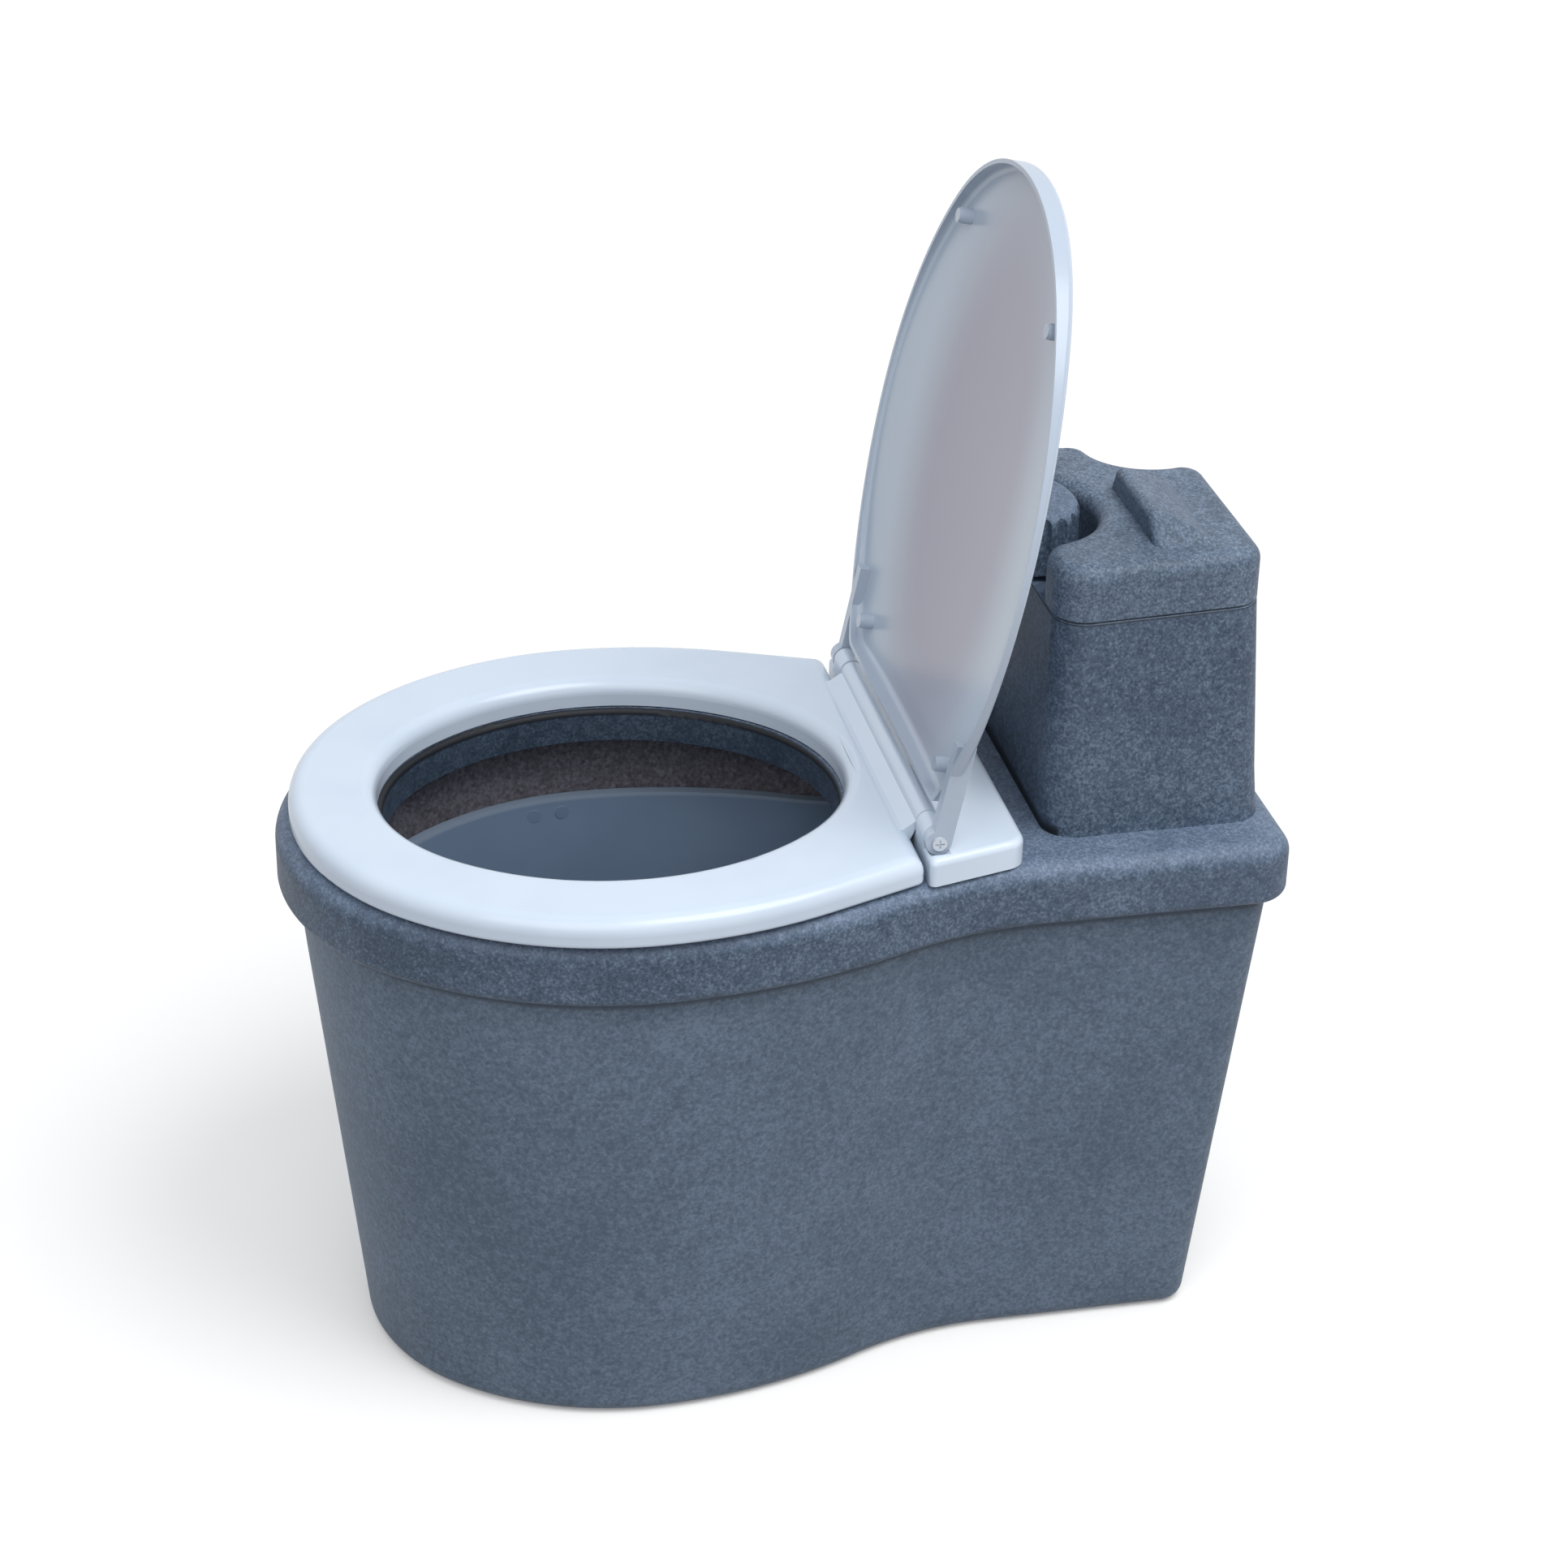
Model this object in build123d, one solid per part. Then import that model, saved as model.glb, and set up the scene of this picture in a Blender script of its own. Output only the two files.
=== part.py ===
from build123d import *
from math import atan2, cos, degrees, radians, sin
import os

os.makedirs("parts", exist_ok=True)

# Composting toilet: a tapered tub stands on the floor, a lipped cover with a litter hopper
# sits on it, and a bucket inside the tub takes the waste. Front is -Y, rear is +Y, floor is z = 0.
# The origin is on the floor, midway along the rim. Lengths are in millimetres.

overrun = 4.0
face_gap = 0.3
running_gap = 0.05
match_gap = 0.01

# Cover rim seen from above
rim_front = 340.0
rim_rear = 347.0
rim_half = 202.0
rim_rear_half = 147.0
rim_corner = 28.0
widest_y = -102.0
waist_run_share = 0.651
shoulder_share = 0.6
nose_blend_share = 0.29
deck_height = 410.0
deck_thickness = 6.0
skirt_height = 46.0
skirt_wall = 8.0
skirt_top_round = 14.0
skirt_low_round = 7.0
deck_under = deck_height - deck_thickness
skirt_foot = deck_height - skirt_height

# Outer tub, drawn in towards the floor
tub_wall = 6.0
tub_top_inset = 9.0
tub_foot_front_inset = 51.0
tub_foot_rear_inset = 39.0
tub_foot_side_inset = 42.0
tub_foot_corner = 20.0
tub_foot_round = 12.0
seal_thickness = 5.0
tub_height = deck_under - seal_thickness
locating_lip_depth = 9.0
locating_lip_wall = 3.5
locating_lip_gap = 1.0

# Inner bucket on ribs, with its drained floor
bucket_wall = 4.0
bucket_front_gap = 52.0
bucket_rear_gap = 57.0
bucket_side_gap = 35.0
bucket_rear_side_gap = 29.0
bucket_front = rim_front - bucket_front_gap
bucket_rear = rim_rear - bucket_rear_gap
bucket_half = rim_half - bucket_side_gap
bucket_rear_half = rim_rear_half - bucket_rear_side_gap
bucket_corner = 20.0
bucket_draw_front = 30.0
bucket_draw_rear = 20.0
bucket_draw_side = 29.0
bucket_drop = 84.0
bucket_rim_height = deck_height - bucket_drop
bucket_lift = 20.0
bucket_bead_width = 4.0
bucket_bead_height = 6.0
bucket_rib_width = 8.0
bucket_rib_length = 420.0
bucket_rib_pitch = 60.0
bucket_rib_count = 3
bucket_floor = tub_wall + bucket_lift
drain_hole_radius = 5.0
drain_hole_pitch = 70.0
drain_hole_rows = 5

# Slotted false floor and fibre mat inside the bucket
grate_gap = 12.0
grate_front = bucket_front - bucket_draw_front - bucket_wall - grate_gap
grate_rear = bucket_rear - bucket_draw_rear - bucket_wall - grate_gap
grate_half = bucket_half - bucket_draw_side - bucket_wall - grate_gap
grate_rear_half = bucket_rear_half - bucket_draw_side - bucket_wall - grate_gap
grate_thickness = 4.0
grate_leg_height = 14.0
grate_leg_radius = 7.0
grate_leg_x = 55.0
grate_leg_y = 162.0
grate_slot_length = 56.0
grate_slot_width = 10.0
grate_slot_pitch_x = 70.0
grate_slot_pitch_y = 36.0
grate_slot_columns = 2
grate_slot_rows = 11
mat_thickness = 6.0
mat_inset = 3.0

# Bucket grips, riveted under the bead
grip_turn = 8.6
grip_length = 84.0
grip_thickness = 5.0
grip_height = 26.0
grip_drop = 13.5
grip_slot_length = 58.0
grip_slot_height = 12.0
rivet_radius = 2.2
rivet_head_radius = 5.0
rivet_head = 1.6
rivet_spacing = 22.0
rivet_rise = 8.0
grip_end_share = 0.35
slot_end_share = 0.45

# Seat opening and its collar in the deck
hole_y = -107.0
hole_half = 138.0
hole_reach = 159.0
collar_depth = 25.0
collar_wall = 7.0
collar_round = 4.0

# Seat ring
seat_front = 330.0
seat_half = 205.0
seat_widest_y = -107.0
seat_rear_y = 78.5
seat_rear_half = 156.0
seat_turn_share = 1.446
seat_hole_half = 141.5
seat_hole_reach = 162.5
seat_thickness = 20.0
seat_lift = 1.4
seat_top_round = 11.0
seat_hole_round = 11.0
seat_low_round = 3.0
seat_corner = 7.0
seat_wall = 5.0
seat_hollow = 13.0
seat_under = deck_height + seat_lift
seat_top = seat_under + seat_thickness
bumper_radius = 7.0
bumper_boss = 10.0
bumper_stem = 3.0
bumper_stem_length = 6.0
seat_bumper_x = 118.0
seat_bumper_front_y = -250.0
seat_bumper_rear_y = 40.0

# Hinge line behind the seat
hinge_y = 90.0
hinge_rise = 5.6
hinge_z = seat_top + hinge_rise
barrel_radius = 8.0
barrel_web = 6.0
web_root = 18.0
web_depth = 8.0
barrel_half = 114.0
ear_inner = 116.0
ear_outer = 136.0
ear_radius = 8.5
lug_inner = 137.0
lug_outer = 146.0
lug_radius = 9.0
pin_radius = 2.5
pin_length = 46.0
pin_head_radius = 5.0
pin_head = 2.4
pin_slot = 1.2
pin_slot_reach = 3.2

# Hinge plate, screwed to the deck
plate_front_y = 82.0
plate_rear_y = 153.0
plate_front_half = 159.0
plate_rear_half = 140.0
plate_thickness = 20.0
plate_corner = 15.0
plate_edge_round = 5.0
plate_wall = 4.0
plate_hollow = 13.0
plate_front_corner = 4.0
plate_trough_radius = 10.5
plate_boss_radius = 11.0
bolt_x = 77.5
bolt_y = 122.0
bolt_radius = 3.0
bolt_length = 40.0
bolt_hole_radius = 4.5
washer_radius = 11.0
washer_thickness = 2.0
nut_radius = 7.0
nut_height = 8.0
wing_span = 32.0
wing_thickness = 3.0
wing_height = 12.0
wing_round_share = 0.4
plate_top = deck_height + plate_thickness

# Seat lid, modelled shut and stored open
lid_front = 331.0
lid_half = 186.0
lid_rear_y = 72.0
lid_rear_half = 124.0
lid_turn_share = 2.0
lid_height = 16.0
lid_crown_radius = 1700.0
lid_corner = 14.0
lid_inner_round = 4.0
lid_wall = 3.0
lid_top_round = 4.0
lid_gap = 1.0
lid_open = 101.4
lid_closed_under = seat_top + lid_gap
lug_root_y = 18.0
lid_bumper_radius = 5.0
lid_bumper_boss = 5.5
lid_bumper_set = 1.0
lid_bumper_stem = 2.0
lid_bumper_stem_length = 6.0
lid_bumper_x = 112.0
lid_bumper_front_y = -262.0
lid_bumper_rear_y = 48.0

# Hopper behind the seat, with a hollow round the vent pipe at its far rear corner
hopper_half = 109.0
hopper_taper = 11.0
hopper_front_y = 177.0
hopper_rear_y = 323.0
hopper_corner = 22.0
hopper_wall = 5.0
hopper_rise = 161.0
hopper_bend_rise = 33.0
hopper_seam = deck_height + hopper_rise
hopper_bend = deck_height + hopper_bend_rise
hopper_foot_taper = 2.0
hopper_bend_taper = 4.0
hopper_foot_rear_spread = 10.0
hopper_bend_rear_spread = 7.0
vent_x = -99.0
vent_y = 295.0
vent_recess = 43.0
vent_blend = 16.0

# Hopper lid with its notch and moulded handle
hopper_lid_height = 40.0
hopper_lid_wall = 4.5
hopper_lid_round = 11.0
hopper_lid_lip = 10.0
hopper_lid_lip_wall = 3.0
hopper_lid_lip_gap = 1.5
seam_round = 1.6
notch_y = 172.0
notch_radius = 58.0
notch_blend = 18.0
shelf_thickness = 6.0
handle_near_x = 82.0
handle_far_x = -27.0
handle_front_y = 249.0
handle_depth = 42.0
handle_height = 20.0
handle_rear_height = 9.0
handle_top_depth = 28.0
handle_near_run = 34.0
handle_far_run = 14.0
handle_round = 5.0
hopper_lid_top = hopper_seam + hopper_lid_height

# Litter feed: knob, shaft, stirring fingers and spreader wheel
shaft_y = 190.0
shaft_radius = 5.0
shaft_drop = 25.0
shaft_low = deck_under - shaft_drop
bush_radius = 9.0
bush_flange_radius = 13.0
bush_flange = 2.0
knob_half = 40.0
knob_depth = 27.0
knob_height = 44.0
knob_round = 8.0
knob_lift = 2.5
knob_flute_radius = 5.0
knob_flute_inset = 2.6
knob_flutes = 14
stirrer_hub_radius = 7.0
stirrer_hub_height = 14.0
stirrer_finger_radius = 3.0
stirrer_finger_length = 66.0
stirrer_finger_turns = (50.0, 90.0, 130.0)
stirrer_lift = 2.0
stirrer_tine_height = 26.0
wheel_radius = 56.0
wheel_thickness = 3.0
wheel_vane_height = 9.0
wheel_vane_thickness = 3.0
wheel_vanes = 6
wheel_hub_height = 18.0
wheel_disc_rise = 5.0
wheel_vane_gap = 2.0
shaft_screw_radius = 1.5
shaft_screw_depth = 12.0
shaft_screw_head_radius = 7.5
shaft_screw_head = 2.4
shaft_into_knob = 26.0
outlet_half = 46.0
outlet_front_y = 214.0
outlet_rear_y = 250.0
outlet_plate_half = 58.0
outlet_plate_margin = 8.0
outlet_plate_thickness = 4.0
outlet_slots = 5
outlet_slot_width = 11.0
outlet_slot_length = 28.0
outlet_slot_pitch = 17.0
small_screw_radius = 1.6
small_screw_head = 3.6
small_screw_head_height = 2.0
small_screw_length = 9.0
vent_screw_radius = 1.1
vent_screw_head = 2.3
vent_screws = 3

# Vent spigot on the deck and drain tail low on the rear wall
vent_radius = 25.0
vent_wall = 2.5
vent_rise = 50.0
vent_drop = 8.0
vent_flange_radius = 31.0
vent_flange = 3.0
vent_seal = 2.0
drain_z = 30.0
drain_radius = 11.0
drain_bore = 8.0
drain_boss_radius = 17.5
drain_boss_rear_y = 312.0
drain_boss_front_y = 296.0
drain_flange_radius = 16.0
drain_flange = 3.0
drain_seal = 2.0
drain_nut_radius = 16.0
drain_nut_height = 9.0
drain_tail_y = 338.0
drain_barb = 0.8
drain_barbs = 3


def oval_quarter(half, reach, y):
    """A quarter of an oval from its front to its side, in two arcs that share a tangent."""
    short, long = sorted((half, reach))
    tight = short**2 / long
    nose = tight + nose_blend_share * (short - tight)
    drop = long - nose
    shift = (drop**2 - (short - nose) ** 2) / (2 * (short - nose))
    turn = degrees(atan2(shift, drop))
    arcs = [(nose, turn), (short + shift, 90 - turn)]
    if half > reach:
        arcs = [(short + shift, 90 - turn), (nose, turn)]
    front = JernArc(start=(0, y - reach), tangent=(1, 0), radius=arcs[0][0], arc_size=arcs[0][1])
    side = JernArc(start=front @ 1, tangent=front % 1, radius=arcs[1][0], arc_size=arcs[1][1])
    return front + side


def mirrored(right):
    """Face closed by a right-hand outline and its mirror image."""
    return make_face(right + mirror(right, about=Plane.YZ))


def closed_outline(front, rear, half, rear_half, corner, z):
    """Plan of tub, rim or bucket: half an oval in front, a waist of two arcs, a square rear."""
    run = waist_run_share * (rear - corner - widest_y)
    bend = 2 * atan2(half - rear_half, run)
    spread = run / sin(bend)
    shoulder_radius = spread * shoulder_share
    waist_radius = spread - shoulder_radius
    nose = oval_quarter(half, front + widest_y, widest_y)
    shoulder = JernArc(start=(half, widest_y), tangent=(0, 1), radius=shoulder_radius, arc_size=degrees(bend))
    waist = JernArc(start=shoulder @ 1, tangent=shoulder % 1, radius=waist_radius, arc_size=-degrees(bend))
    flank = Line(waist @ 1, (rear_half, rear - corner))
    turn = JernArc(start=(rear_half, rear - corner), tangent=(0, 1), radius=corner, arc_size=90)
    back = Line((rear_half - corner, rear), (0, rear))
    return Pos(0, 0, z) * mirrored(nose + shoulder + waist + flank + turn + back)


def rim_outline(inset, z):
    return closed_outline(
        rim_front - inset,
        rim_rear - inset,
        rim_half - inset,
        rim_rear_half - inset,
        rim_corner - min(inset, rim_corner / 2),
        z,
    )


def tub_outline(inset, z):
    """The tub's plan at a height: its insets shrink evenly from the foot to the top."""
    share = z / tub_height
    front = tub_foot_front_inset + (tub_top_inset - tub_foot_front_inset) * share
    rear = tub_foot_rear_inset + (tub_top_inset - tub_foot_rear_inset) * share
    side = tub_foot_side_inset + (tub_top_inset - tub_foot_side_inset) * share
    corner = tub_foot_corner - inset
    return closed_outline(
        rim_front - front - inset,
        rim_rear - rear - inset,
        rim_half - side - inset,
        rim_rear_half - side - inset,
        corner,
        z,
    )


def bucket_outline(inset, z):
    share = (bucket_rim_height - z) / (bucket_rim_height - bucket_floor)
    return closed_outline(
        bucket_front - bucket_draw_front * share - inset,
        bucket_rear - bucket_draw_rear * share - inset,
        bucket_half - bucket_draw_side * share - inset,
        bucket_rear_half - bucket_draw_side * share - inset,
        bucket_corner - inset,
        z,
    )


def ruled(low, high):
    return loft([low, high], ruled=True)


def prism(face, height):
    return extrude(face, amount=height, dir=(0, 0, 1))


def rod(radius, length, x, y, z):
    """Upright cylinder standing on z."""
    return Pos(x, y, z) * Cylinder(radius, length, align=(Align.CENTER, Align.CENTER, Align.MIN))


def rod_x(radius, start, end, y, z):
    """Cylinder along X between two stations."""
    body = Cylinder(radius, abs(end - start))
    return Pos((start + end) / 2, y, z) * Rot(0, 90, 0) * body


def rod_y(radius, start, end, x, z):
    """Cylinder along Y between two stations."""
    body = Cylinder(radius, abs(end - start))
    return Pos(x, (start + end) / 2, z) * Rot(90, 0, 0) * body


def block(x_low, x_high, y_low, y_high, z_low, z_high):
    body = Box(x_high - x_low, y_high - y_low, z_high - z_low)
    return Pos((x_low + x_high) / 2, (y_low + y_high) / 2, (z_low + z_high) / 2) * body


def prism_x(points, start, end):
    """Solid with a profile given in Y and Z, between two stations along X."""
    face = make_face(Polyline(*[(start, y, z) for y, z in points], close=True))
    return extrude(face, amount=end - start, dir=(1, 0, 0))


def edges_at(shape, z):
    """Edges that lie flat at a height."""
    return shape.edges().filter_by_position(Axis.Z, z, z)


def oval(half, reach, y, z):
    """Long oval with its centre on the centre line."""
    quarter = oval_quarter(half, reach, 0)
    return Pos(0, y, z) * mirrored(quarter + mirror(quarter, about=Plane.XZ))


def grid(columns, rows, pitch_x, pitch_y):
    """Places of an even grid about the origin."""
    for column in range(columns):
        for row in range(rows):
            yield (column - (columns - 1) / 2) * pitch_x, (row - (rows - 1) / 2) * pitch_y


def save(shape, node):
    export_step(shape, "parts/" + node + ".step")


def outer_tub():
    """Open tub, with a flat boss on its rear wall for the drain tail."""
    outside = ruled(tub_outline(0, 0), tub_outline(0, tub_height))
    outside = fillet(edges_at(outside, 0), tub_foot_round)
    inside = ruled(tub_outline(tub_wall, tub_wall), tub_outline(tub_wall, tub_height + overrun))
    boss = rod_y(drain_boss_radius, drain_boss_front_y, drain_boss_rear_y, 0, drain_z)
    bore = rod_y(drain_radius, drain_boss_front_y - overrun, drain_boss_rear_y + overrun, 0, drain_z)
    return outside - inside + boss - bore


def tub_seal():
    """Rubber strip on the tub's top edge, under the deck."""
    strip = tub_outline(0, tub_height) - tub_outline(tub_wall, tub_height)
    return prism(strip, seal_thickness)


def bucket():
    """Drawn-in bucket with a beaded rim, ribs below and drain holes in its floor."""
    outside = ruled(bucket_outline(0, bucket_floor), bucket_outline(0, bucket_rim_height))
    bead = prism(bucket_outline(-bucket_bead_width, bucket_rim_height), -bucket_bead_height)
    inside = ruled(
        bucket_outline(bucket_wall, bucket_floor + bucket_wall),
        bucket_outline(bucket_wall, bucket_rim_height + overrun),
    )
    shell = outside + bead - inside
    for x, _ in grid(bucket_rib_count, 1, bucket_rib_pitch, 0):
        shell += block(
            x - bucket_rib_width / 2,
            x + bucket_rib_width / 2,
            -bucket_rib_length / 2,
            bucket_rib_length / 2,
            tub_wall,
            bucket_floor + bucket_wall / 2,
        )
    depth = bucket_wall + 2 * overrun
    for x, y in grid(bucket_rib_count - 1, drain_hole_rows, bucket_rib_pitch, drain_hole_pitch):
        shell -= rod(drain_hole_radius, depth, x, y, bucket_floor - overrun)
    for place in rivet_places():
        shell -= place * Cylinder(rivet_radius, 4 * bucket_wall)
    return shell


def false_floor():
    """Slotted plate on short legs that keeps the solids off the drain holes."""
    foot = bucket_floor + bucket_wall
    top = foot + grate_leg_height
    plate = prism(
        closed_outline(grate_front, grate_rear, grate_half, grate_rear_half, bucket_corner, top),
        grate_thickness,
    )
    slot = Box(grate_slot_length, grate_slot_width, 2 * grate_thickness + overrun)
    for x, y in grid(grate_slot_columns, grate_slot_rows, grate_slot_pitch_x, grate_slot_pitch_y):
        plate -= Pos(x, y, top) * slot
    for x, y in grid(2, 2, 2 * grate_leg_x, 2 * grate_leg_y):
        plate += rod(grate_leg_radius, grate_leg_height + grate_thickness / 2, x, y, foot)
    return plate


def fibre_mat():
    """Drainage mat laid on the false floor."""
    z = bucket_floor + bucket_wall + grate_leg_height + grate_thickness
    face = closed_outline(
        grate_front - mat_inset,
        grate_rear - mat_inset,
        grate_half - mat_inset,
        grate_rear_half - mat_inset,
        bucket_corner,
        z,
    )
    return prism(face, mat_thickness)


def grip_place(side):
    """Frame on the bucket's side wall where a grip is riveted: X points out of the wall."""
    reach = bucket_front + widest_y
    x = side * bucket_half * cos(radians(grip_turn))
    y = widest_y - reach * sin(radians(grip_turn))
    out = degrees(atan2(-sin(radians(grip_turn)) / reach, side * cos(radians(grip_turn)) / bucket_half))
    return Pos(x, y, bucket_rim_height - bucket_bead_height - grip_drop) * Rot(0, 0, out)


def rivet_places():
    """Axes of the four rivets, Z pointing out of the bucket."""
    for side in (-1, 1):
        for _, y in grid(1, 2, 0, rivet_spacing):
            yield grip_place(side) * Pos(0, y, rivet_rise) * Rot(0, 90, 0)


def bucket_grips():
    """Two moulded grips outside the bucket, each cut to lie on its wall."""
    solid = ruled(bucket_outline(0, bucket_floor), bucket_outline(0, bucket_rim_height))
    holes = [place * Cylinder(rivet_radius, 6 * grip_thickness) for place in rivet_places()]
    grips = []
    for side in (-1, 1):
        body = Box(2 * grip_thickness, grip_length, grip_height)
        body = fillet(body.edges().filter_by(Axis.X), grip_height * grip_end_share)
        slot = Box(4 * grip_thickness, grip_slot_length, grip_slot_height)
        slot = fillet(slot.edges().filter_by(Axis.X), grip_slot_height * slot_end_share)
        low = Pos(0, 0, grip_slot_height / 2 - grip_height / 2)
        grips.append((grip_place(side) * (body - low * slot) - solid - holes).solid())
    return Compound(children=grips)


def grip_rivets(bucket_shell, grips):
    """Four rivets, their heads cut to seat on the bucket inside and the grip outside."""
    rivets = []
    for place in rivet_places():
        shank = Cylinder(rivet_radius, 2 * (grip_thickness + rivet_head))
        inner = Pos(0, 0, -bucket_wall - rivet_head / 2) * Cylinder(rivet_head_radius, 2 * rivet_head)
        outer = Pos(0, 0, grip_thickness + rivet_head / 2) * Cylinder(rivet_head_radius, rivet_head)
        rivet = place * (shank + inner + outer) - bucket_shell - grips
        rivets.append(rivet.solid())
    return Compound(children=rivets)


def hopper_outline(inset, taper, rear_spread, z):
    """Plan that narrows to the rear, with a round hollow at its far rear corner for the vent pipe."""
    front = hopper_front_y + inset
    rear = hopper_rear_y + rear_spread - inset
    wide = hopper_half - inset
    narrow = hopper_half - taper - inset
    hollow = vent_recess + inset
    face = make_face(Polyline((wide, front), (narrow, rear), (-narrow, rear), (-wide, front), close=True))
    face = fillet(face.vertices(), hopper_corner - inset)
    face -= Pos(vent_x, vent_y) * Circle(hollow)
    centre = Vector(vent_x, vent_y, 0)
    mouth = [v for v in face.vertices() if abs((v.center() - centre).length - hollow) < match_gap]
    return Pos(0, 0, z) * fillet(mouth, vent_blend - inset)


def hopper_body(inset, low, high):
    """The hopper's form between two heights: flared at its foot, then almost upright."""
    foot = (inset, hopper_foot_taper, hopper_foot_rear_spread)
    bend = (inset, hopper_bend_taper, hopper_bend_rear_spread)
    top = (inset, hopper_taper, 0)
    body = ruled(hopper_outline(*foot, deck_height), hopper_outline(*bend, hopper_bend))
    body += ruled(hopper_outline(*bend, hopper_bend), hopper_outline(*top, hopper_seam))
    if low < deck_height:
        body += prism(hopper_outline(*foot, low), deck_height - low)
    if high > hopper_seam:
        body += prism(hopper_outline(*top, hopper_seam), high - hopper_seam)
    return body


def top_cover():
    """Cover moulded in one with the seat collar, the hopper and the shelf under its knob."""
    rim = prism(rim_outline(0, skirt_foot), skirt_height)
    rim = fillet(edges_at(rim, deck_height), skirt_top_round)
    rim = fillet(edges_at(rim, skirt_foot), skirt_low_round)
    rim += hopper_body(0, deck_height - skirt_top_round, hopper_seam)
    rim = fillet(edges_at(rim, hopper_seam), seam_round)
    rim -= prism(rim_outline(skirt_wall, skirt_foot - overrun), skirt_height - deck_thickness + overrun)
    cavity = hopper_body(hopper_wall, deck_height, hopper_seam + overrun)
    shelf = hopper_seam - shelf_thickness
    cavity -= rod(notch_radius + hopper_lid_wall, shelf_thickness + overrun, 0, notch_y, shelf)
    rim -= cavity
    collar_foot = deck_height - collar_depth
    collar = oval(hole_half + collar_wall, hole_reach + collar_wall, hole_y, collar_foot)
    rim += prism(collar, collar_depth)
    hole = oval(hole_half, hole_reach, hole_y, collar_foot - overrun)
    rim -= prism(hole, collar_depth + 2 * overrun)
    lip_face = tub_outline(tub_wall + locating_lip_gap, tub_height)
    lip_face -= tub_outline(tub_wall + locating_lip_gap + locating_lip_wall, tub_height)
    rim += Pos(0, 0, seal_thickness - locating_lip_depth) * prism(lip_face, locating_lip_depth)
    rim = fillet(round_hole(rim, hole_reach, deck_height), collar_round)
    rim -= rod(bush_radius, shelf_thickness + 2 * overrun, 0, shaft_y, shelf - overrun)
    rim -= rod(bush_radius, deck_thickness + 2 * overrun, 0, shaft_y, deck_under - overrun)
    rim -= block(
        -outlet_half,
        outlet_half,
        outlet_front_y,
        outlet_rear_y,
        deck_under - overrun,
        deck_height + overrun,
    )
    through = deck_thickness + 2 * overrun
    rim -= rod(vent_radius + face_gap, through, vent_x, vent_y, deck_under - overrun)
    for side in (-1, 1):
        rim -= rod(bolt_hole_radius, through, side * bolt_x, bolt_y, deck_under - overrun)
    for x, y in outlet_screw_places():
        rim -= rod(small_screw_radius, through, x, y, deck_under - overrun)
    for x, y in vent_screw_places():
        rim -= rod(vent_screw_radius, through, x, y, deck_under - overrun)
    return rim


def outlet_screw_places():
    x = (outlet_half + outlet_plate_half) / 2
    y_low = outlet_front_y - outlet_plate_margin / 2
    y_high = outlet_rear_y + outlet_plate_margin / 2
    return [(side * x, y) for side in (-1, 1) for y in (y_low, y_high)]


def vent_screw_places():
    reach = (vent_radius + vent_flange_radius) / 2
    turns = [radians(360 / vent_screws * index) for index in range(vent_screws)]
    return [(vent_x + reach * cos(turn), vent_y + reach * sin(turn)) for turn in turns]


def ring_outline(front, half, rear_y, rear_half, turn_share, corner, z):
    """Seat or lid seen from above: an oval that narrows to a straight rear edge."""
    run = rear_y - seat_widest_y
    width = half - rear_half
    turn = atan2(width, run) * turn_share
    radius = (run * sin(turn) - width * cos(turn)) / (1 - cos(turn))
    nose = oval_quarter(half, front + seat_widest_y, seat_widest_y)
    side = JernArc(start=(half, seat_widest_y), tangent=(0, 1), radius=radius, arc_size=degrees(turn))
    outline = nose + side
    if (side @ 1 - Vector(rear_half, rear_y)).length > match_gap:
        outline += Line(side @ 1, (rear_half, rear_y))
    face = mirrored(outline + Line((rear_half, rear_y), (0, rear_y)))
    corners = [v for v in face.vertices() if abs(v.Y - rear_y) < match_gap and abs(v.X) > rear_half / 2]
    return Pos(0, 0, z) * fillet(corners, corner)


def round_hole(shape, reach, z):
    """Edges at a height that belong to the seat opening."""
    centre = Vector(0, hole_y, z)
    return [edge for edge in edges_at(shape, z) if (edge @ 0.5 - centre).length < reach + match_gap]


def seat_outline(inset, z):
    return ring_outline(
        seat_front - inset,
        seat_half - inset,
        seat_rear_y - inset,
        seat_rear_half - inset,
        seat_turn_share,
        seat_corner,
        z,
    )


def bumper_places():
    return [(side * seat_bumper_x, y) for side in (-1, 1) for y in (seat_bumper_front_y, seat_bumper_rear_y)]


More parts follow.
